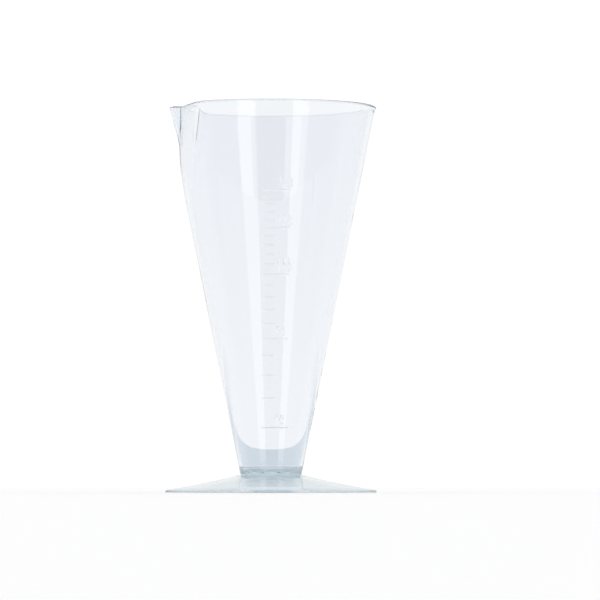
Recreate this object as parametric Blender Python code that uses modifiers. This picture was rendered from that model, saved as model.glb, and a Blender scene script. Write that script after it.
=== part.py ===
"""Conical measure of clear moulded plastic: a pouring cone with a raised scale, on a round foot.

The origin is the middle of the foot's underside. +Z is up, the scale faces -Y and the spout points to -X.
All sizes are in metres.
"""

import math

import bmesh
import bpy
import numpy as np

# Driving sizes of the whole measure
TOTAL_HEIGHT = 0.158  # from the table to the rim
RIM_RADIUS = 0.0432  # outside of the rim's lip
FOOT_RADIUS = 0.0432  # outside of the foot
JOINT_HEIGHT = 0.0073  # the cone's lower end stands this high, on the foot
NECK_RADIUS = 0.0125  # outside of the cone at its lower end
JOINT_GAP = 0.0003  # clearance between the cone and the foot

# The cone's walls
LIP_WIDTH = 0.0003  # how far the lip stands out from the wall
LIP_HEIGHT = 0.0016
WALL_AT_RIM = 0.0018  # measured level, as all the walls here
WALL_AT_NECK = 0.0010
CUP_FLOOR = 0.0008  # thickness of the cone's floor outside the spigot
FLOOR_FILLET = 0.0025  # between the cavity's floor and its wall
NECK_FILLET = 0.0004  # at the cone's outer lower edge

# The spigot under the cone, and its recess in the foot
SPIGOT_RADIUS = 0.0085
SPIGOT_DEPTH = 0.0012

# The foot
FOOT_WALL = 0.0016
FOOT_EDGE = 0.0009  # height of the foot's outer edge
FOOT_SAG = 0.0003  # how far the foot's upper side dips below a straight cone
FOOT_RING = 0.0045  # width of the flat ring that the foot stands on
HUB_SPREAD = 0.0008  # how much wider the hub is at its lower end
HUB_LIFT = 0.0005  # the hub ends this far above the table

# The spout: two flat walls that meet in a narrow beak
FLAT_DEPTH = 0.0065  # how far each flat wall lies inside the rim's circle, at its nearest to the axis
FLAT_TURN = math.radians(14.3)  # each flat wall faces this far to one side of -X
BEAK_DEPTH = 0.0017  # how far the beak's tip lies inside the rim's circle
BEAK_HALF_WIDTH = 0.0032
BEAK_WALL = 0.0013
BEAK_LENGTH = 0.0158  # how far down from the rim the beak runs
BEAK_FALL = 1.3  # how late the beak's tip draws in: 1 is a straight slope
BEAK_BLEND = 0.0009  # rounding where the beak leaves the flat walls
FLAT_BLEND = 0.0015  # rounding where the flat walls leave the round wall
SPOUT_MARGIN = 0.008  # the flat walls fade into the round wall over this height below their end

# The scale on the front
MARK_STEP = 10.0  # millilitres from one line to the next
MARK_COUNT = 20
MARKS_PER_LONG = 5  # every fifth line is long, and so is the first
LINE_WIDTH = 0.00045
RELIEF = 0.0003  # how far lines and figures stand out of the wall
SINK = 0.0004  # how far they reach into it
LINE_START = -0.0029  # X of a line's left end at the highest line
LINE_START_LOW = -0.0037  # the same at the lowest line
SHORT_LINE = 0.0049
LONG_LINE = 0.0106
FIGURE_HEIGHT = 0.0036
FIGURE_NARROWING = 0.76  # the figures are this much narrower than plain letters
FIGURE_TURN = math.radians(4.6)  # the figures' left edge lies this far round from -Y
FIGURE_LIFT = 0.0008  # clear space between a line and its figures

# Fineness
COLUMNS = 88
COLUMN_CROWDING = 0.75  # draws the cone's columns together at the spout, 0 spreads them evenly
SPOUT_ROWS = 11
FOOT_COLUMNS = 88
ARC_STEPS = 4
FILLET_STEPS = 5

WALL_RUN = RIM_RADIUS - LIP_WIDTH - NECK_RADIUS
CONE_HEIGHT = TOTAL_HEIGHT - JOINT_HEIGHT
SLOPE = WALL_RUN / CONE_HEIGHT
CONE_BOTTOM = JOINT_HEIGHT + JOINT_GAP
CAVITY_FLOOR = CONE_BOTTOM + CUP_FLOOR
FLAT_DISTANCE = RIM_RADIUS - FLAT_DEPTH  # from the axis to the outside of each flat wall
BEAK_REACH = RIM_RADIUS - BEAK_DEPTH  # from the axis to the beak's tip
FLATS_END = JOINT_HEIGHT + (FLAT_DISTANCE - NECK_RADIUS) / SLOPE  # the flat walls run out here


def wall_radius(z):
    """Outer radius of the round cone at height z, without the lip."""
    return NECK_RADIUS + SLOPE * (z - JOINT_HEIGHT)


def wall_thickness(z):
    """Level thickness of the cone's wall at height z, thin at the neck and thick at the rim."""
    share = (z - JOINT_HEIGHT) / CONE_HEIGHT
    return WALL_AT_NECK + (WALL_AT_RIM - WALL_AT_NECK) * share


def cavity_radius(z):
    """Inner radius of the cone at height z, rounded into its floor."""
    radius = wall_radius(z) - wall_thickness(z)
    above_floor = np.clip(z - CAVITY_FLOOR, 0.0, FLOOR_FILLET)
    inset = FLOOR_FILLET - np.sqrt(FLOOR_FILLET**2 - (FLOOR_FILLET - above_floor) ** 2)
    return radius - inset


def mark_heights():
    """Heights at which the cavity holds each marked volume, from the volume of its thin slices."""
    z = np.linspace(CAVITY_FLOOR, TOTAL_HEIGHT, 4001)
    area = math.pi * cavity_radius(z) ** 2
    slices = (area[1:] + area[:-1]) / 2 * np.diff(z)
    millilitres = np.concatenate(([0.0], np.cumsum(slices))) * 1e6
    volumes = MARK_STEP * np.arange(1, MARK_COUNT + 1)
    return np.interp(volumes, millilitres, z)


def new_collection(name):
    collection = bpy.data.collections.new(name)
    bpy.context.scene.collection.children.link(collection)
    return collection


def new_material(name, colour, roughness):
    material = bpy.data.materials.new(name)
    material.use_nodes = True
    shader = material.node_tree.nodes["Principled BSDF"]
    shader.inputs["Base Color"].default_value = (*colour, 1.0)
    shader.inputs["Roughness"].default_value = roughness
    shader.inputs["Metallic"].default_value = 0.0
    return material


def new_object(name, mesh, collection):
    made = bpy.data.objects.new(name, mesh)
    collection.objects.link(made)
    return made


def turned_mesh(name, profile, columns):
    """Closed mesh that a profile of (radius, height) pairs sweeps in a full turn about Z."""
    outline = bpy.data.meshes.new(name + "_outline")
    points = [(radius, 0.0, height) for radius, height in profile]
    edges = [(i, i + 1) for i in range(len(points) - 1)]
    outline.from_pydata(points, edges, [])
    source = new_object(name + "_outline", outline, bpy.context.scene.collection)
    screw = source.modifiers.new("Turn", "SCREW")
    screw.axis = "Z"
    screw.angle = 2 * math.pi
    screw.steps = columns
    screw.render_steps = columns
    screw.use_merge_vertices = True
    screw.merge_threshold = 0.00001
    graph = bpy.context.evaluated_depsgraph_get()
    mesh = bpy.data.meshes.new_from_object(source.evaluated_get(graph))
    mesh.name = name
    bpy.data.objects.remove(source)
    return mesh


def smooth(mesh, degrees=30.0):
    mesh.shade_smooth()
    mesh.set_sharp_from_angle(angle=math.radians(degrees))


def arc(centre_r, centre_z, radius, start, end, steps):
    """Points of an arc in the profile plane, with angles in degrees from +X."""
    turns = np.radians(np.linspace(start, end, steps + 1))
    return [(centre_r + radius * math.cos(a), centre_z + radius * math.sin(a)) for a in turns]


def cone_profile():
    """Half section of the cone: cavity floor, cavity wall, rim, outer wall, lower edge, spigot."""
    rows = np.linspace(FLATS_END - SPOUT_MARGIN, TOTAL_HEIGHT - LIP_HEIGHT, SPOUT_ROWS)
    half_lip = (WALL_AT_RIM + LIP_WIDTH) / 2
    rim_centre = RIM_RADIUS - half_lip
    rim_rise = half_lip * 0.7
    rim = []
    for turn in np.radians(np.linspace(180.0, 0.0, 2 * ARC_STEPS + 1)):
        rim_z = TOTAL_HEIGHT - rim_rise + rim_rise * math.sin(turn)
        rim.append((rim_centre + half_lip * math.cos(turn), rim_z))

    low = np.linspace(0.0, 1.0, FILLET_STEPS + 1)
    fillet_heights = CAVITY_FLOOR + FLOOR_FILLET * (1 - np.cos(low * math.pi / 2))
    inner = [(0.0, CAVITY_FLOOR)]
    inner += [(float(cavity_radius(z)), z) for z in fillet_heights]
    inner += [(float(cavity_radius(z)), z) for z in rows]
    outer = [(wall_radius(z), z) for z in rows[::-1]]
    corner = arc(NECK_RADIUS - NECK_FILLET, CONE_BOTTOM + NECK_FILLET, NECK_FILLET, 0, -90, ARC_STEPS)
    spigot_end = CONE_BOTTOM - SPIGOT_DEPTH
    spigot = [(SPIGOT_RADIUS, CONE_BOTTOM), (SPIGOT_RADIUS, spigot_end), (0.0, spigot_end)]
    return inner + rim + outer + corner + spigot


def spout_radius(turn, z, round_radius, inset):
    """Radius of the wall at an angle from -X and a height: the round wall, cut by the two flats,
    with the beak standing out of them. The inset is the wall's thickness for an inner surface.
    """
    flats = FLAT_DISTANCE - inset
    side = np.abs(turn)
    facing = np.cos(np.minimum(np.abs(side - FLAT_TURN), math.radians(80.0)))
    excess = round_radius - flats / facing
    radius = round_radius - (excess + np.sqrt(excess**2 + FLAT_BLEND**2)) / 2

    down = np.clip((TOTAL_HEIGHT - z) / BEAK_LENGTH, 0.0, 1.0)
    reach = BEAK_REACH - (BEAK_REACH - FLAT_DISTANCE) * down**BEAK_FALL
    beak_inset = inset * BEAK_WALL / WALL_AT_RIM
    half_width = BEAK_HALF_WIDTH - beak_inset
    nose_centre = reach - BEAK_HALF_WIDTH
    across = np.clip(nose_centre * np.sin(side) / half_width, -1.0, 1.0)
    nose = nose_centre * np.cos(side) + half_width * np.sqrt(1.0 - across**2)
    on_beak = (nose_centre * np.sin(side) < half_width) & (down < 1.0)
    beak = np.where(on_beak, nose, 0.0)
    difference = beak - radius
    return radius + (difference + np.sqrt(difference**2 + BEAK_BLEND**2)) / 2


def shape_spout(mesh):
    """Crowds the columns towards -X and draws the wall in to the spout's flats and beak."""
    count = len(mesh.vertices)
    places = np.empty(count * 3)
    mesh.vertices.foreach_get("co", places)
    places = places.reshape(count, 3)
    x, y, z = places.T
    radius = np.hypot(x, y)
    even_turn = np.arctan2(y, -x)
    turn = even_turn - COLUMN_CROWDING * np.sin(even_turn)

    inset_here = np.clip(wall_radius(z) - radius, 0.0, wall_thickness(z))
    shaped = spout_radius(turn, z, radius, inset_here)
    share = np.clip((z - FLATS_END + SPOUT_MARGIN) / SPOUT_MARGIN, 0.0, 1.0)
    new_radius = radius + (shaped - radius) * share
    places[:, 0] = -new_radius * np.cos(turn)
    places[:, 1] = new_radius * np.sin(turn)
    mesh.vertices.foreach_set("co", places.ravel())
    mesh.update()


def wrap_on_wall(mesh, base_height):
    """Bends a flat mesh, drawn in X and Y with its depth in Z, onto the outer wall of the cone."""
    for vertex in mesh.vertices:
        along, up, depth = vertex.co
        z = base_height + up
        radius = wall_radius(z) + depth
        turn = along / wall_radius(base_height)
        vertex.co = (radius * math.sin(turn), -radius * math.cos(turn), z)
    mesh.update()


def line_mesh(name, start, length, height):
    """One raised scale line, as a bar cut into short lengths that follow the wall."""
    bends = max(2, round(length / wall_radius(height) / math.radians(5.0)))
    shape = bmesh.new()
    bmesh.ops.create_cube(shape, size=1.0)
    ends = [edge for edge in shape.edges if abs(edge.verts[0].co.x - edge.verts[1].co.x) > 0.5]
    bmesh.ops.subdivide_edges(shape, edges=ends, cuts=bends - 1, use_grid_fill=True)
    for vertex in shape.verts:
        vertex.co.x = start + (vertex.co.x + 0.5) * length
        vertex.co.y *= LINE_WIDTH
        vertex.co.z = -SINK + (vertex.co.z + 0.5) * (SINK + RELIEF)
    mesh = bpy.data.meshes.new(name)
    shape.to_mesh(mesh)
    shape.free()
    wrap_on_wall(mesh, height)
    return mesh


def figures_mesh(name, text, height):
    """The raised figures above a long line, from Blender's plain built-in letters."""
    curve = bpy.data.curves.new(name, "FONT")
    curve.body = text
    curve.size = FIGURE_HEIGHT / 0.7  # a figure is about 0.7 of the letters' size
    curve.resolution_u = 2
    curve.extrude = (SINK + RELIEF) / 2
    writing = new_object(name, curve, bpy.context.scene.collection)
    graph = bpy.context.evaluated_depsgraph_get()
    mesh = bpy.data.meshes.new_from_object(writing.evaluated_get(graph))
    bpy.data.objects.remove(writing)

    shape = bmesh.new()
    shape.from_mesh(mesh)
    bmesh.ops.remove_doubles(shape, verts=shape.verts, dist=0.000001)
    left = min(vertex.co.x for vertex in shape.verts)
    for vertex in shape.verts:
        vertex.co.x = (vertex.co.x - left) * FIGURE_NARROWING + FIGURE_TURN * wall_radius(height)
        vertex.co.y += LINE_WIDTH / 2 + FIGURE_LIFT
        vertex.co.z += (RELIEF - SINK) / 2
    shape.to_mesh(mesh)
    shape.free()
    wrap_on_wall(mesh, height)
    return mesh


def joined_mesh(name, meshes):
    """One mesh that holds several separate closed bodies."""
    shape = bmesh.new()
    for mesh in meshes:
        shape.from_mesh(mesh)
    joined = bpy.data.meshes.new(name)
    shape.to_mesh(joined)
    shape.free()
    return joined


def scale_mesh():
    """All lines and figures of the scale, at the heights of the volumes they mark."""
    pieces = []
    heights = mark_heights()
    for i, height in enumerate(heights):
        number = i + 1
        is_long = number == 1 or number % MARKS_PER_LONG == 0
        share = i / (MARK_COUNT - 1)
        start = LINE_START_LOW + (LINE_START - LINE_START_LOW) * share
        length = LONG_LINE if is_long else SHORT_LINE
        pieces.append(line_mesh(f"line_{number}", start, length, height))
        if is_long:
            text = str(round(MARK_STEP * number))
            pieces.append(figures_mesh(f"figures_{number}", text, height))
    return joined_mesh("scale_marks", pieces)


def make_measuring_cone(parts, tools):
    """The cone with its spout, and the scale moulded onto it."""
    mesh = turned_mesh("measuring_cone", cone_profile(), COLUMNS)
    shape_spout(mesh)
    cone = new_object("measuring_cone", mesh, parts)

    marks = new_object("scale_marks", scale_mesh(), tools)
    marks.hide_render = True
    marks.display_type = "WIRE"
    union = cone.modifiers.new("Scale", "BOOLEAN")
    union.operation = "UNION"
    union.solver = "EXACT"
    union.object = marks

    smooth(mesh)
    mesh.materials.append(new_material("clear_plastic_cone", (0.88, 0.93, 0.95), 0.08))
    return cone


def foot_top(radius):
    """Height of the foot's upper side at a radius: a straight fall from neck to edge, less the sag."""
    share = (radius - NECK_RADIUS) / (FOOT_RADIUS - NECK_RADIUS)
    fall = (JOINT_HEIGHT - FOOT_EDGE) * share
    return JOINT_HEIGHT - fall - FOOT_SAG * 4 * share * (1 - share)


def foot_profile():
    """Half section of the foot: recess, upper side, edge, resting ring, underside, hub."""
    recess_radius = SPIGOT_RADIUS + JOINT_GAP
    recess_floor = JOINT_HEIGHT - SPIGOT_DEPTH
    recess = [(0.0, recess_floor), (recess_radius, recess_floor), (recess_radius, JOINT_HEIGHT)]
    upper_radii = np.linspace(NECK_RADIUS, FOOT_RADIUS, 8)
    upper = [(float(r), float(foot_top(r))) for r in upper_radii]

    hub_top_radius = NECK_RADIUS
    hub_low_radius = NECK_RADIUS + HUB_SPREAD
    ring_inside = FOOT_RADIUS - FOOT_RING
    under_radii = np.linspace(ring_inside, hub_low_radius, 6)[1:]
    ring = [(FOOT_RADIUS, 0.0), (ring_inside, 0.0)]
    under = [(float(r), float(foot_top(r)) - FOOT_WALL) for r in under_radii]
    web_under = recess_floor - FOOT_WALL
    hub = [
        (hub_low_radius, HUB_LIFT),
        (hub_low_radius - FOOT_WALL, HUB_LIFT),
        (hub_top_radius - FOOT_WALL, web_under),
        (0.0, web_under),
    ]
    return recess + upper + ring + under + hub


def make_foot(parts):
    """The round foot: a shallow hollow cone, open below, with a hub under the joint."""
    mesh = turned_mesh("foot", foot_profile(), FOOT_COLUMNS)
    smooth(mesh)
    mesh.materials.append(new_material("clear_plastic_foot", (0.82, 0.88, 0.91), 0.12))
    return new_object("foot", mesh, parts)


def main():
    for old in list(bpy.data.objects):
        bpy.data.objects.remove(old)
    parts = new_collection("conical_measure")
    tools = new_collection("cutters")
    make_measuring_cone(parts, tools)
    make_foot(parts)


main()
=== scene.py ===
import math
import bpy
import numpy as np
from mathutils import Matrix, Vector


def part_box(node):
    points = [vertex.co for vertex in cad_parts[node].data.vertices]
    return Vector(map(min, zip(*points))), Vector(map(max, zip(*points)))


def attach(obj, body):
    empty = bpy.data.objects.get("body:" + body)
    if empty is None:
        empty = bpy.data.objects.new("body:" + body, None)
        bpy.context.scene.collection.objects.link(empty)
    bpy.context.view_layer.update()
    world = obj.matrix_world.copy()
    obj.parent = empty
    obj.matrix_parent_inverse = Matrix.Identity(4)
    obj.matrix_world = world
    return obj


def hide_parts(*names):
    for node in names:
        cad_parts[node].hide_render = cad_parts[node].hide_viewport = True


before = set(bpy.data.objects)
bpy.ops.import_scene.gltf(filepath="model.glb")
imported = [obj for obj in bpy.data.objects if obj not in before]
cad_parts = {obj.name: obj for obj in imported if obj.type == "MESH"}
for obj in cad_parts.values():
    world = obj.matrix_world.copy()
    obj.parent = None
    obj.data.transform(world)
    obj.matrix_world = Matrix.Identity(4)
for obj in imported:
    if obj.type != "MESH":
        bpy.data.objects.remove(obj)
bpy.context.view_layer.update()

mm = 0.001
mlPerCubicMetre = 1e6


def hexToLinear(code):  # sRGB hex colour to the linear values that sockets take
    out = []
    for i in (0, 2, 4):
        value = int(code.lstrip("#")[i:i + 2], 16) / 255
        out.append(value / 12.92 if value <= 0.04045 else ((value + 0.055) / 1.055) ** 2.4)
    return (*out, 1.0)


def addNode(tree, kind, settings=None, **links):
    # Adds one node. Settings set sockets by name or number, or the node's own properties.
    # Each link names a socket, with _ for a space or i and its number, and gives the output that feeds it.
    node = tree.nodes.new(kind)
    for name, value in (settings or {}).items():
        if isinstance(name, int) or name in node.inputs:
            node.inputs[name].default_value = value
        else:
            setattr(node, name, value)
    for name, source in links.items():
        place = int(name[1:]) if name[0] == "i" and name[1:].isdigit() else name.replace("_", " ")
        tree.links.new(source, node.inputs[place])
    return node


def gridMesh(name, points):
    # Closed mesh of a grid of points, with rows along the profile and columns that wrap round the axis.
    # The first and the last row are each closed by a fan to one point at the middle of the row.
    rows, cols = points.shape[:2]
    r, c = np.meshgrid(np.arange(rows - 1), np.arange(cols), indexing="ij")
    after = (c + 1) % cols
    quads = np.stack([r * cols + c, r * cols + after, (r + 1) * cols + after, (r + 1) * cols + c], -1)
    quads = quads.reshape(-1, 4)
    verts = np.vstack([points.reshape(-1, 3), points[0].mean(0), points[-1].mean(0)])
    ring = np.arange(cols)
    nextRing = (ring + 1) % cols
    pole = np.full(cols, rows * cols)
    last = (rows - 1) * cols
    tris = np.vstack([
        np.stack([pole, nextRing, ring], -1),
        np.stack([pole + 1, last + ring, last + nextRing], -1),
    ])
    mesh = bpy.data.meshes.new(name)
    mesh.vertices.add(len(verts))
    mesh.vertices.foreach_set("co", verts.astype(np.float32).ravel())
    loops = np.concatenate([quads.ravel(), tris.ravel()])
    sizes = np.concatenate([np.full(len(quads), 4), np.full(len(tris), 3)])
    mesh.loops.add(len(loops))
    mesh.loops.foreach_set("vertex_index", loops.astype(np.int32))
    mesh.polygons.add(len(sizes))
    starts = np.concatenate([[0], np.cumsum(sizes)[:-1]])
    mesh.polygons.foreach_set("loop_start", starts.astype(np.int32))
    mesh.update(calc_edges=True)
    mesh.validate()
    mesh.shade_smooth()
    return mesh


def addPiece(name, mesh, material):
    piece = bpy.data.objects.new(name, mesh)
    bpy.context.scene.collection.objects.link(piece)
    piece.data.materials.append(material)
    return piece


def easeIn(x):  # three times the square less twice the cube, held between 0 and 1
    x = np.clip(x, 0, 1)
    return x * x * (3 - 2 * x)


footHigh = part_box("foot")[1]
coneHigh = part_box("measuring_cone")[1]

cone = {
    "height": coneHigh.z,
    "rimRadius": coneHigh.y,  # outside of the lip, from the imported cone
    "jointZ": footHigh.z,
    "neckRadius": 12.5 * mm,
    "lipWidth": 0.3 * mm,
    "lipHeight": 1.6 * mm,
    "lipRise": 0.7,  # height of the lip's round top, as a share of its half width
    "wallAtRim": 1.8 * mm,
    "wallAtNeck": 1.0 * mm,
    "gap": 0.3 * mm,
    "bondLine": 0.04 * mm,  # the visible joint is tighter than the gap between the solids
    "cupFloor": 0.8 * mm,
    "floorFillet": 2.5 * mm,
    "neckFillet": 0.4 * mm,
    "spigotRadius": 8.5 * mm,
    "spigotDepth": 1.2 * mm,
    "spigotEdge": 0.06 * mm,
    "flatDistance": 36.7 * mm,
    "flatTurn": math.radians(14.3),
    "flatBlend": 1.5 * mm,
    "flatFade": 8.0 * mm,
    "flatLimit": math.radians(80),  # a flat is never read further than this from square on
    "beakReach": 41.5 * mm,
    "beakHalfWidth": 3.2 * mm,
    "beakWall": 1.3 * mm,
    "beakLength": 15.8 * mm,
    "beakFall": 1.3,
    "beakBlend": 0.9 * mm,
}
coneRise = cone["height"] - cone["jointZ"]
cone["slope"] = (cone["rimRadius"] - cone["lipWidth"] - cone["neckRadius"]) / coneRise
cone["bottomZ"] = cone["jointZ"] + cone["bondLine"]
cone["floorZ"] = cone["jointZ"] + cone["gap"] + cone["cupFloor"]

# how fine the cone's grid is; runs are start, end and step
grid = {
    "scaleRuns": [(-4.4, -2.2, 0.2), (-2.0, 0.8, 0.6), (1.0, 9.4, 0.165)],  # mm from the front line
    "spoutRuns": [(0.35, 7.4, 0.7), (8.0, 52.0, 1.5), (55.0, 61.0, 5.0)],  # degrees to each side of the beak
    "backColumns": 60,
    "frontColumns": 7,
    "columnsFrom": 2.0 * mm,  # below this height over the joint the columns go straight down
    "guards": np.array([0.1, 0.5, 1.5]) * mm,  # rows just past a rounding, which keep its shading to itself
    "innerGuards": np.array([0.1, 0.5, 1.5, 3.5]) * mm,
    "wideStep": 4.0 * mm,
    "spoutStep": 1.0 * mm,
    "spoutDepth": 42.0 * mm,
    "innerStart": 6.0 * mm,
    "innerRows": 20,
    "innerSpoutDepth": 44.0 * mm,
    "innerSpoutRows": 40,
    "overLine": np.array([-2.3, -1.45, -1.0, -0.55, 0, 0.55, 1.0, 1.45, 2.3]),  # in half widths of a line
    "figureMargin": 0.15 * mm,
    "figureRise": 0.35 * mm,
    "figureStep": 0.2 * mm,
    "leastStep": 0.055 * mm,  # of two rows nearer than this, one is left out
    "floorShares": (0.02, 0.25, 0.5, 0.75, 0.9, 0.97),
    "filletPoints": 13,
    "lipPoints": 15,
    "neckPoints": 9,
    "slices": 4001,
    "hair": 1e-6,  # anything smaller is rounding of the numbers
}

marks = {
    "stepMl": 10.0,
    "count": 20,
    "perLong": 5,
    "lineWidth": 0.5 * mm,
    "relief": 0.3 * mm,
    "shoulderEnd": 1.35,  # where a ridge ends and how far its shoulder runs, in half widths
    "shoulderRun": 0.7,
    "startHigh": -2.9 * mm,
    "startLow": -3.7 * mm,
    "shortLine": 4.9 * mm,
    "longLine": 10.6 * mm,
    "figureHeight": 3.6 * mm,
    "figureWidth": 1.62 * mm,
    "figurePitch": 2.14 * mm,
    "figureTurn": math.radians(4.6),
    "figureLift": 1.05 * mm,
    "stroke": 0.46 * mm,
    "reach": 12.0 * mm,  # the scale ends well within this distance round the wall
}


def wallRadius(z):  # straight line from the neck to the rim
    return cone["neckRadius"] + cone["slope"] * (z - cone["jointZ"])


def wallThickness(z):  # straight line from the thin neck to the thick rim
    share = (z - cone["jointZ"]) / coneRise
    return cone["wallAtNeck"] + (cone["wallAtRim"] - cone["wallAtNeck"]) * share


def cavityRadius(z):  # outer line less the wall, rounded into the floor by a quarter circle
    fillet = cone["floorFillet"]
    above = np.clip(z - cone["floorZ"], 0, fillet)
    inset = fillet - np.sqrt(np.maximum(fillet ** 2 - (fillet - above) ** 2, 0))
    return wallRadius(z) - wallThickness(z) - inset


def markHeights():
    # Heights where the cavity's volume, summed slice by slice from the floor up, reaches each line's amount.
    z = np.linspace(cone["floorZ"], cone["height"], grid["slices"])
    area = math.pi * cavityRadius(z) ** 2
    volume = np.concatenate([[0], np.cumsum((area[1:] + area[:-1]) / 2 * np.diff(z))]) * mlPerCubicMetre
    return np.interp(marks["stepMl"] * np.arange(1, marks["count"] + 1), volume, z)


def isLong(number):  # the first line and every fifth one are long and have a figure
    return number == 1 or number % marks["perLong"] == 0


def segmentDistance(x, y, line):  # distance from every point to a chain of straight strokes
    best = np.full(np.shape(x), 1.0)
    for (ax, ay), (bx, by) in zip(line[:-1], line[1:]):
        dx, dy = bx - ax, by - ay
        along = np.clip(((x - ax) * dx + (y - ay) * dy) / max(dx * dx + dy * dy, 1e-12), 0, 1)
        best = np.minimum(best, np.hypot(x - ax - along * dx, y - ay - along * dy))
    return best


def arcLine(cx, cy, rx, ry, start, end, steps):  # chain of points on part of an ellipse, angles in degrees
    turn = np.radians(np.linspace(start, end, steps + 1))
    return list(zip(cx + rx * np.cos(turn), cy + ry * np.sin(turn)))


def figureStrokes(figure):
    # Plain figures in a box 1 wide and 1 high, as chains of strokes. Only the four that the scale needs.
    if figure == "0":
        return [arcLine(0.5, 0.5, 0.5, 0.5, 0, 360, 20)]
    if figure == "1":
        return [[(0.2, 0.78), (0.55, 1.0), (0.55, 0.0)]]
    if figure == "2":
        return [arcLine(0.5, 0.74, 0.46, 0.26, 160, -35, 10) + [(0.02, 0.0), (1.0, 0.0)]]
    return [[(0.92, 1.0), (0.16, 1.0), (0.08, 0.56)] + arcLine(0.44, 0.33, 0.52, 0.33, 130, -150, 12)]


def ridge(away, half):  # full at the stroke's middle, easing to nothing over a shoulder at its edge
    return easeIn((half * marks["shoulderEnd"] - away) / (half * marks["shoulderRun"]))


def reliefAt(x, z):
    # Height of the raised scale over the wall: the highest ridge of any stroke that passes there, times the
    # relief. x is the distance round the wall from the front, z the height.
    out = np.zeros(x.shape)
    tall = marks["figureHeight"] - marks["stroke"]
    wide = marks["figureWidth"] - marks["stroke"]
    halfLine, halfStroke = marks["lineWidth"] / 2, marks["stroke"] / 2
    for i, height in enumerate(markHeights()):
        share = i / (marks["count"] - 1)
        start = marks["startLow"] + (marks["startHigh"] - marks["startLow"]) * share
        end = start + (marks["longLine"] if isLong(i + 1) else marks["shortLine"])
        away = segmentDistance(x, z, [(start + halfLine, height), (end - halfLine, height)])
        out = np.maximum(out, ridge(away, halfLine))
        if not isLong(i + 1):
            continue
        left = marks["figureTurn"] * wallRadius(height)
        low = height + marks["figureLift"] + marks["stroke"] / 2
        for place, figure in enumerate(str(round(marks["stepMl"] * (i + 1)))):
            ax = left + place * marks["figurePitch"] + halfStroke
            near = (np.abs(z - low - tall / 2) < tall) & (np.abs(x - ax - wide / 2) < wide * 2)
            for stroke in figureStrokes(figure):
                line = [(ax + px * wide, low + py * tall) for px, py in stroke]
                away = segmentDistance(x[near], z[near], line)
                out[near] = np.maximum(out[near], ridge(away, halfStroke))
    return out * marks["relief"]


def spoutRadius(turn, z, roundRadius, inset):
    # Radius at a turn from -X: the round wall cut by two flats, with the beak's nose standing out.
    # Each meeting is a rounded crease, (a + b) / 2 plus or minus half the root of the squared gap and blend.
    flats = cone["flatDistance"] - inset
    side = np.abs(turn)
    facing = np.cos(np.minimum(np.abs(side - cone["flatTurn"]), cone["flatLimit"]))
    excess = roundRadius - flats / facing
    radius = roundRadius - (excess + np.sqrt(excess ** 2 + cone["flatBlend"] ** 2)) / 2
    down = np.clip((cone["height"] - z) / cone["beakLength"], 0, 1)
    reach = cone["beakReach"] - (cone["beakReach"] - cone["flatDistance"]) * down ** cone["beakFall"]
    half = cone["beakHalfWidth"] - inset * cone["beakWall"] / cone["wallAtRim"]
    middle = reach - cone["beakHalfWidth"]
    across = middle * np.sin(side) / half
    nose = middle * np.cos(side) + half * np.sqrt(np.maximum(1 - across ** 2, 0))
    beak = np.where((across < 1) & (down < 1), nose, 0)
    extra = beak - radius
    return radius + (extra + np.sqrt(extra ** 2 + cone["beakBlend"] ** 2)) / 2


def coneColumns():
    # Where the columns stand, in four runs round the cone. The scale's zone keeps fixed distances from the
    # front line. The spout's run keeps fixed turns, closest at the beak. The runs between are even shares.
    zone = np.concatenate([np.arange(*run) for run in grid["scaleRuns"]]) * mm
    sideTurns = np.concatenate([np.arange(*run) for run in grid["spoutRuns"]])
    spout = np.radians(np.concatenate([-sideTurns[::-1], sideTurns]))
    toSpout = np.linspace(0, 1, grid["backColumns"] + 2)[1:-1]
    fromSpout = np.linspace(0, 1, grid["frontColumns"] + 2)[1:-1]
    return zone, toSpout, spout, fromSpout


def coneRows():
    # Heights of the outer wall's rows: even steps, finer at the spout, and close steps over each mark.
    low = cone["bottomZ"] + cone["neckFillet"]
    spoutLow = cone["height"] - grid["spoutDepth"]
    rows = [low + grid["guards"], np.arange(low + grid["wideStep"], spoutLow, grid["wideStep"])]
    rows.append(np.arange(spoutLow, cone["height"] - cone["lipHeight"], grid["spoutStep"]))
    half = marks["lineWidth"] / 2
    for i, height in enumerate(markHeights()):
        rows.append(height + half * grid["overLine"])
        if isLong(i + 1):
            low = height + marks["figureLift"] - grid["figureMargin"]
            high = low + marks["figureHeight"] + grid["figureRise"]
            rows.append(np.arange(low, high, grid["figureStep"]))
    rows = np.sort(np.concatenate(rows))
    keep = [rows[0]]
    for z in rows[1:]:
        if z - keep[-1] > grid["leastStep"]:
            keep.append(z)
    return np.array(keep)


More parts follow.
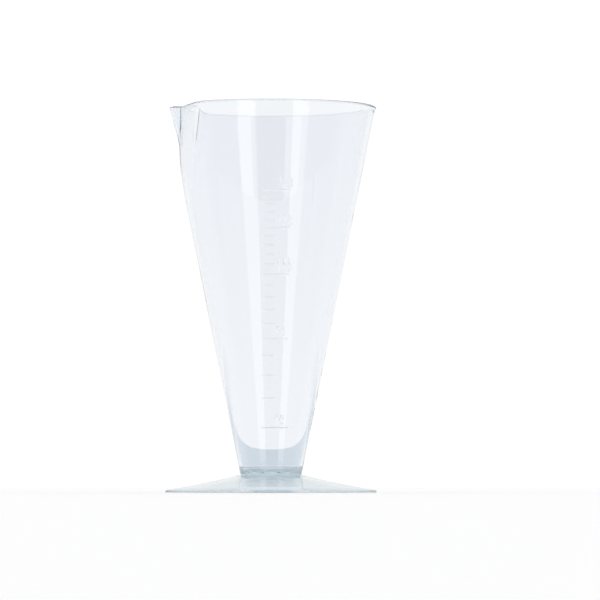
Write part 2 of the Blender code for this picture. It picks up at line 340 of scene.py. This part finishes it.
def coneProfile():
    # The closed half section as arrays of radius and height: cavity floor, cavity wall, half-round rim,
    # outer wall, quarter-round lower edge, underside and spigot.
    top = cone["height"]
    halfLip = (cone["wallAtRim"] + cone["lipWidth"]) / 2
    rise = halfLip * cone["lipRise"]
    lowRadius = cavityRadius(cone["floorZ"])
    r = [lowRadius * share for share in grid["floorShares"]]
    z = [cone["floorZ"]] * len(r)
    turn = np.linspace(0, 1, grid["filletPoints"]) * math.pi / 2
    fillet = cone["floorZ"] + cone["floorFillet"] * (1 - np.cos(turn))
    spoutLow = top - grid["innerSpoutDepth"]
    inner = np.concatenate([
        fillet,
        fillet[-1] + grid["innerGuards"],
        np.linspace(fillet[-1] + grid["innerStart"], spoutLow, grid["innerRows"])[:-1],
        np.linspace(spoutLow, top - cone["lipHeight"], grid["innerSpoutRows"]),
    ])
    r += list(cavityRadius(inner))
    z += list(inner)
    turn = np.radians(np.linspace(180, 0, grid["lipPoints"]))
    r += list(cone["rimRadius"] - halfLip + halfLip * np.cos(turn))
    z += list(top - rise + rise * np.sin(turn))
    outer = coneRows()[::-1]
    r += list(wallRadius(outer))
    z += list(outer)
    turn = np.radians(np.linspace(0, -90, grid["neckPoints"]))
    edge = cone["neckFillet"]
    r += list(cone["neckRadius"] - edge + edge * np.cos(turn))
    z += list(cone["bottomZ"] + edge + edge * np.sin(turn))
    low, spigot, corner = cone["bottomZ"], cone["spigotRadius"], cone["spigotEdge"]
    deep = low - cone["spigotDepth"]
    under = [
        (spigot + 4 * corner, low), (spigot, low), (spigot, low - corner),
        (spigot, deep + corner), (spigot - corner, deep), (spigot * 0.6, deep), (spigot * 0.02, deep),
    ]
    r += [p[0] for p in under]
    z += [p[1] for p in under]
    return np.array(r), np.array(z)


def coneMesh():
    # Point of column c and row p: turn the profile's radius round the axis, draw it in to the spout,
    # and lift the outer wall by the relief of the scale.
    r, z = coneProfile()
    zone, toSpout, spout, fromSpout = coneColumns()
    # turns are counted from -X, so the front is at a quarter turn; the zone's turns depend on the height
    radiusHere = wallRadius(np.maximum(z, cone["bottomZ"] + grid["columnsFrom"]))[:, None]
    zoneTurn = math.pi / 2 + zone[None, :] / radiusHere
    first, last = zoneTurn[:, :1], zoneTurn[:, -1:]
    spoutTurn = np.broadcast_to(spout[None, :] + 2 * math.pi, (len(z), len(spout)))
    backTurn = last + (spoutTurn[:, :1] - last) * toSpout[None, :]
    leftTurn = spoutTurn[:, -1:] + (first + 2 * math.pi - spoutTurn[:, -1:]) * fromSpout[None, :]
    turn = np.concatenate([zoneTurn, backTurn, spoutTurn, leftTurn], axis=1)
    turn = (turn + math.pi) % (2 * math.pi) - math.pi
    zGrid = np.broadcast_to(z[:, None], turn.shape)
    rGrid = np.broadcast_to(r[:, None], turn.shape)
    inset = np.clip(wallRadius(zGrid) - rGrid, 0, wallThickness(zGrid))
    flatsEnd = cone["jointZ"] + (cone["flatDistance"] - cone["neckRadius"]) / cone["slope"]
    fade = np.clip((zGrid - flatsEnd) / cone["flatFade"] + 1, 0, 1)
    shaped = spoutRadius(turn, zGrid, rGrid, inset)
    radius = rGrid + (shaped - rGrid) * fade
    onWall = np.abs(rGrid - wallRadius(zGrid)) < grid["hair"]
    outerWall = onWall & (zGrid < cone["height"] - cone["lipHeight"] + grid["hair"])
    fromFront = (turn - math.pi / 2) * radiusHere
    inZone = outerWall & (np.abs(fromFront) < marks["reach"])
    lift = np.zeros(turn.shape)
    lift[inZone] = reliefAt(fromFront[inZone], zGrid[inZone])
    radius = radius + lift
    points = np.stack([-radius * np.cos(turn), -radius * np.sin(turn), zGrid], -1)
    return gridMesh("measuring_cone_clear", points[:, ::-1])  # columns run clockwise, so the faces look out


foot = {
    "radius": footHigh.x,
    "wall": 1.6 * mm,
    "edge": 0.9 * mm,
    "sag": 0.3 * mm,
    "ring": 4.5 * mm,
    "hubSpread": 0.8 * mm,
    "hubLift": 0.5 * mm,
    "rounding": 0.25 * mm,
    "roundingSteps": 4,
    "mostRounding": 0.45,  # share of a side that one rounding may take, so that two never meet
    "middle": 0.1 * mm,  # radius of the last ring before the fan at the axis
    "topPoints": 24,
    "underPoints": 20,
    "columns": 200,
}


def footTop(r):  # straight fall from neck to edge, less a sag that is greatest half way
    share = (r - cone["neckRadius"]) / (foot["radius"] - cone["neckRadius"])
    return cone["jointZ"] - (cone["jointZ"] - foot["edge"]) * share - foot["sag"] * 4 * share * (1 - share)


def roundedChain(corners):
    # Profile through its corners, each cut back by the rounding and bridged by a curve:
    # (1-t)^2 start + 2t(1-t) corner + t^2 end.
    out = [corners[0]]
    t = np.linspace(0, 1, foot["roundingSteps"] + 1)[:, None]
    for before, corner, after in zip(corners[:-2], corners[1:-1], corners[2:]):
        p0, p1, p2 = np.array(before), np.array(corner), np.array(after)
        back = min(foot["rounding"], np.linalg.norm(p0 - p1) * foot["mostRounding"])
        ahead = min(foot["rounding"], np.linalg.norm(p2 - p1) * foot["mostRounding"])
        start = p1 + (p0 - p1) / np.linalg.norm(p0 - p1) * back
        end = p1 + (p2 - p1) / np.linalg.norm(p2 - p1) * ahead
        out += list((1 - t) ** 2 * start + 2 * t * (1 - t) * p1 + t ** 2 * end)
    return np.array(out + [corners[-1]])


def footProfile():
    # The closed half section: recess for the spigot, upper face, flat ring, underside, hub and its web.
    joint, neck = cone["jointZ"], cone["neckRadius"]
    recess, recessZ = cone["spigotRadius"] + cone["gap"], cone["jointZ"] - cone["spigotDepth"]
    upper = [(r, footTop(r)) for r in np.linspace(neck, foot["radius"], foot["topPoints"])]
    ringInside, hubLow = foot["radius"] - foot["ring"], neck + foot["hubSpread"]
    underRadii = np.linspace(ringInside, hubLow, foot["underPoints"])[1:]
    under = [(r, footTop(r) - foot["wall"]) for r in underRadii]
    web = recessZ - foot["wall"]
    corners = [(foot["middle"], recessZ), (recess, recessZ), (recess, joint)] + upper
    corners += [(foot["radius"], 0.0), (ringInside, 0.0)] + under
    corners += [(hubLow, foot["hubLift"]), (hubLow - foot["wall"], foot["hubLift"])]
    corners += [(neck - foot["wall"], web), (foot["middle"], web)]
    return roundedChain(corners)


def footMesh():
    # The foot's profile turned once round Z: radius times cosine, less radius times sine, height.
    profile = footProfile()
    turn = np.linspace(0, 2 * math.pi, foot["columns"], endpoint=False)
    r, z = profile[:, :1], profile[:, 1:]
    points = np.stack([r * np.cos(turn), -r * np.sin(turn), z + 0 * turn], -1)
    return gridMesh("foot_clear", points)


plastic = {
    "conePaintedShade": [(8.6 * mm, "#e9edef"), (9.6 * mm, "#f9fafc"), (150.0 * mm, "#f6f8fb")],  # painted shade by height: darker at the joint, a little darker towards the rim
    "footPaintedShade": [(13.6 * mm, "#dce6ea"), (14.4 * mm, "#ecf1f3")],  # painted shade by distance from the axis: darker in the middle, under the neck
    "paintedShadeSpan": 160.0 * mm,
    "ior": 1.57,
    "depthColour": "#cfe3ee",
    "coneDensity": 14.0,
    "footDensity": 2.0,
    "roughness": 0.015,
    "flowSpacing": 11.76 * mm,  # flow waves from the mould, round the wall
    "flowStretch": 0.12,  # they are about eight times longer up it
    "flowStrength": 0.05,
    "flowHeight": 0.6 * mm,
    "rubSpacing": 0.3125 * mm,  # hair lines from wiping, drawn as coarse as they need to show
    "rubStretch": 0.05,
    "rubLean": (0.06, 0.05, 0),  # the hair lines lean a little off the vertical
    "hazeSpacing": 8.333 * mm,  # patches where the hair lines are denser
}


def clearStyrene(name, paintedShadeMeasure, paintedShades, density):
    # Injection-moulded clear styrene copolymer: glass-like, faintly cool where it is thick, with flow waves
    # from the mould and a haze of fine rubbing marks that breaks up the highlights.
    material = bpy.data.materials.new(name)
    material.use_nodes = True
    tree = material.node_tree
    shader = tree.nodes["Principled BSDF"]
    shader.inputs["Transmission Weight"].default_value = 1.0
    shader.inputs["IOR"].default_value = plastic["ior"]
    place = addNode(tree, "ShaderNodeTexCoord").outputs["Object"]
    # painted shade in the base colour: greyer at the joint, in the hub, and a little towards the rim
    axes = addNode(tree, "ShaderNodeSeparateXYZ", Vector=place)
    flat = addNode(tree, "ShaderNodeCombineXYZ", X=axes.outputs["X"], Y=axes.outputs["Y"])
    reach = addNode(tree, "ShaderNodeVectorMath", {"operation": "LENGTH"}, i0=flat.outputs[0])
    measured = {"height": axes.outputs["Z"], "radius": reach.outputs["Value"]}[paintedShadeMeasure]
    share = addNode(tree, "ShaderNodeMapRange", {"From Max": plastic["paintedShadeSpan"]}, Value=measured)
    paintedShadeRamp = addNode(tree, "ShaderNodeValToRGB", Fac=share.outputs[0])
    first, last = paintedShadeRamp.color_ramp.elements
    first.color, last.color = hexToLinear(paintedShades[0][1]), hexToLinear(paintedShades[-1][1])
    for position, colour in paintedShades:
        paintedShadeRamp.color_ramp.elements.new(position / plastic["paintedShadeSpan"]).color = hexToLinear(colour)
    tree.links.new(paintedShadeRamp.outputs[0], shader.inputs["Base Color"])
    flowPlace = addNode(tree, "ShaderNodeMapping", {"Scale": (1.0, 1.0, plastic["flowStretch"])},
                        Vector=place)
    flow = addNode(tree, "ShaderNodeTexNoise", {"Scale": 1 / plastic["flowSpacing"], "Detail": 1.0},
                   Vector=flowPlace.outputs[0])
    rubPlace = addNode(tree, "ShaderNodeMapping", {"Scale": (1.0, 1.0, plastic["rubStretch"]),
                                                   "Rotation": plastic["rubLean"]}, Vector=place)
    rub = addNode(tree, "ShaderNodeTexNoise", {"Scale": 1 / plastic["rubSpacing"], "Detail": 2.0},
                  Vector=rubPlace.outputs[0])
    haze = addNode(tree, "ShaderNodeTexNoise", {"Scale": 1 / plastic["hazeSpacing"], "Detail": 3.0},
                   Vector=place)
    mixed = addNode(tree, "ShaderNodeMath", {"operation": "MULTIPLY"},
                    i0=rub.outputs["Fac"], i1=haze.outputs["Fac"])
    span = {"From Min": 0.15, "From Max": 0.5}  # the part of the two noises' product that counts
    span["To Min"], span["To Max"] = plastic["roughness"] * 0.4, plastic["roughness"] * 2.4
    rough = addNode(tree, "ShaderNodeMapRange", span, Value=mixed.outputs[0])
    tree.links.new(rough.outputs[0], shader.inputs["Roughness"])
    bump = addNode(tree, "ShaderNodeBump", {"Strength": plastic["flowStrength"],
                                            "Distance": plastic["flowHeight"]}, Height=flow.outputs["Fac"])
    tree.links.new(bump.outputs[0], shader.inputs["Normal"])
    depth = addNode(tree, "ShaderNodeVolumeAbsorption", {"Color": hexToLinear(plastic["depthColour"]),
                                                         "Density": density})
    tree.links.new(depth.outputs[0], tree.nodes["Material Output"].inputs["Volume"])
    return material


conePlastic = clearStyrene("clear_styrene_cone", "height", plastic["conePaintedShade"], plastic["coneDensity"])
footPlastic = clearStyrene("clear_styrene_foot", "radius", plastic["footPaintedShade"], plastic["footDensity"])
print("plastics made")

measuringCone = addPiece("measuring_cone_clear", coneMesh(), conePlastic)
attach(measuringCone, "root")
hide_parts("measuring_cone")
measuringCone.data.calc_loop_triangles()
print("cone made", len(measuringCone.data.loop_triangles), "triangles")

clearFoot = addPiece("foot_clear", footMesh(), footPlastic)
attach(clearFoot, "root")
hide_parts("foot")
clearFoot.data.calc_loop_triangles()
print("foot made", len(clearFoot.data.loop_triangles), "triangles")


room = {
    "floorHalf": 4.0,
    "floorColour": "#fdfdfd",
    "floorRoughness": 0.7,
    "floorDrop": 0.1 * mm,  # keeps the floor clear of the foot's underside
    # grey glow of the band and patch: the table's own grey with painted shade for its far edge and under the
    # foot
    "cardShadeGlow": "#d6e1e8",
    "cardRadius": 0.265,
    "cardHalfTurn": math.radians(75),
    "cardHeight": 21.2 * mm,
    "cardEnd": 1 / 6,  # share of each half over which the card falls to nothing
    "cardDrop": 0.05 * mm,
    "cardColumns": 72,
    "shadePatchRadius": 44.0 * mm,
    "screen": 1.03,
    "stripTint": (0.98, 0.99, 1.0),
    # what reflections see, by the turn from the front in degrees: dark middle, two strips, pale sides
    "strips": [(-180, 0.9), (-100, 0.85), (-80, 0.5), (-40, 0.5), (-38.5, 1.6), (-19, 1.6), (-18, 0.02),
               (25, 0.02), (26, 1.6), (43, 1.6), (45, 0.5), (80, 0.5), (100, 0.85), (180, 0.9)],
}


def paleFloor():
    # Painted board, matt and almost white.
    half = room["floorHalf"]
    mesh = bpy.data.meshes.new("floor")
    corners = [(-half, -half, 0), (half, -half, 0), (half, half, 0), (-half, half, 0)]
    mesh.from_pydata(corners, [], [(0, 1, 2, 3)])
    paint = bpy.data.materials.new("pale_floor_paint")
    paint.use_nodes = True
    shader = paint.node_tree.nodes["Principled BSDF"]
    shader.inputs["Base Color"].default_value = hexToLinear(room["floorColour"])
    shader.inputs["Roughness"].default_value = room["floorRoughness"]
    return addPiece("floor", mesh, paint)


def studioWorld():
    # An even white screen for what is seen through the plastic and by the floor, and strips for reflections.
    world = bpy.data.worlds.new("studio")
    world.use_nodes = True
    tree = world.node_tree
    way = addNode(tree, "ShaderNodeTexCoord").outputs["Generated"]
    axes = addNode(tree, "ShaderNodeSeparateXYZ", Vector=way)
    toFront = addNode(tree, "ShaderNodeMath", {"operation": "MULTIPLY", 1: -1.0}, i0=axes.outputs["Y"])
    azimuth = addNode(tree, "ShaderNodeMath", {"operation": "ARCTAN2"},
                      i0=axes.outputs["X"], i1=toFront.outputs[0])
    share = addNode(tree, "ShaderNodeMapRange", {"From Min": -math.pi, "From Max": math.pi},
                    Value=azimuth.outputs[0])
    strips = addNode(tree, "ShaderNodeValToRGB", Fac=share.outputs[0])
    ramp = strips.color_ramp.elements
    stops = room["strips"]
    placed = [ramp.new(degrees / 360 + 0.5) for degrees, level in stops[1:-1]]
    for stop, (degrees, level) in zip([ramp[0], *placed, ramp[-1]], stops):
        stop.color = (*(level * part for part in room["stripTint"]), 1)
    rays = addNode(tree, "ShaderNodeLightPath")
    outside = addNode(tree, "ShaderNodeMath", {"operation": "SUBTRACT", 0: 1.0},
                      i1=rays.outputs["Is Transmission Ray"])
    mirrored = addNode(tree, "ShaderNodeMath", {"operation": "MULTIPLY"},
                       i0=rays.outputs["Is Glossy Ray"], i1=outside.outputs[0])
    white = (room["screen"], room["screen"], room["screen"], 1)
    mix = addNode(tree, "ShaderNodeMix", {"data_type": "RGBA", 6: white},
                  i0=mirrored.outputs[0], i7=strips.outputs[0])
    tree.links.new(mix.outputs[2], tree.nodes["Background"].inputs["Color"])
    return world


def tableCard():
    # A low strip of a cylinder behind the measure, falling to nothing at its ends, and a flat round patch
    # under the foot.
    # Both glow at a fixed grey and are seen only through the plastic: the table's far edge, and the table
    # with painted shade under the foot.
    count = room["cardColumns"]
    spread = np.linspace(-1, 1, count)
    turn = math.pi / 2 + room["cardHalfTurn"] * spread
    top = room["cardHeight"] * easeIn((1 - np.abs(spread)) / room["cardEnd"])
    edge = np.stack([np.cos(turn), np.sin(turn), 0 * turn], -1) * room["cardRadius"]
    upper = edge + np.stack([0 * top, 0 * top, top], -1)
    around = np.linspace(0, 2 * math.pi, count, endpoint=False)
    patch = np.stack([np.cos(around), np.sin(around), 0 * around], -1) * room["shadePatchRadius"]
    faces = [(i, i + 1, i + 1 + count, i + count) for i in range(count - 1)]
    faces.append(tuple(range(2 * count, 3 * count)))
    points = np.concatenate([edge, upper, patch]) - [0, 0, room["cardDrop"]]
    mesh = bpy.data.meshes.new("table_and_shade_band")
    mesh.from_pydata(points.tolist(), [], faces)
    paint = bpy.data.materials.new("painted_shade_band")
    paint.use_nodes = True
    tree = paint.node_tree
    tree.nodes.remove(tree.nodes["Principled BSDF"])
    # a fixed grey glow, not lit by anything: painted shade
    glow = addNode(tree, "ShaderNodeEmission", {"Color": hexToLinear(room["cardShadeGlow"]), "Strength": 1.0})
    tree.links.new(glow.outputs[0], tree.nodes["Material Output"].inputs["Surface"])
    return addPiece("table_and_shade_band", mesh, paint)


floor = paleFloor()
floor.location.z = -room["floorDrop"]
floor.visible_glossy = False
bpy.context.scene.world = studioWorld()
band = tableCard()
band.visible_camera = False
band.visible_shadow = False
band.visible_diffuse = False
band.visible_glossy = False
print("room made")


view = {
    "distance": 1.95,
    "eyeHeight": 3 * mm,
    "width": 245.5 * mm,  # what the camera takes in across, at the measure's axis
    "aimX": 11.87 * mm,
    "aimZ": 78.75 * mm,
    "clipEnd": 50.0,
    "bounces": 64,  # many, because light crosses a clear wall after a clear wall at the neck
    "clearBounces": 48,
}

camData = bpy.data.cameras.new("camera")
camData.lens = camData.sensor_width * view["distance"] / view["width"]
camData.clip_end = view["clipEnd"]
camera = bpy.data.objects.new("camera", camData)
bpy.context.scene.collection.objects.link(camera)
camera.location = (0, -view["distance"], view["eyeHeight"])
aim = Vector((view["aimX"], 0, view["aimZ"])) - camera.location
camera.rotation_euler = aim.to_track_quat("-Z", "Y").to_euler()
bpy.context.scene.camera = camera
bpy.context.scene.view_settings.view_transform = "Standard"
bpy.context.scene.cycles.max_bounces = view["bounces"]
bpy.context.scene.cycles.transmission_bounces = view["clearBounces"]
bpy.context.scene.cycles.glossy_bounces = view["clearBounces"]
print("camera set")
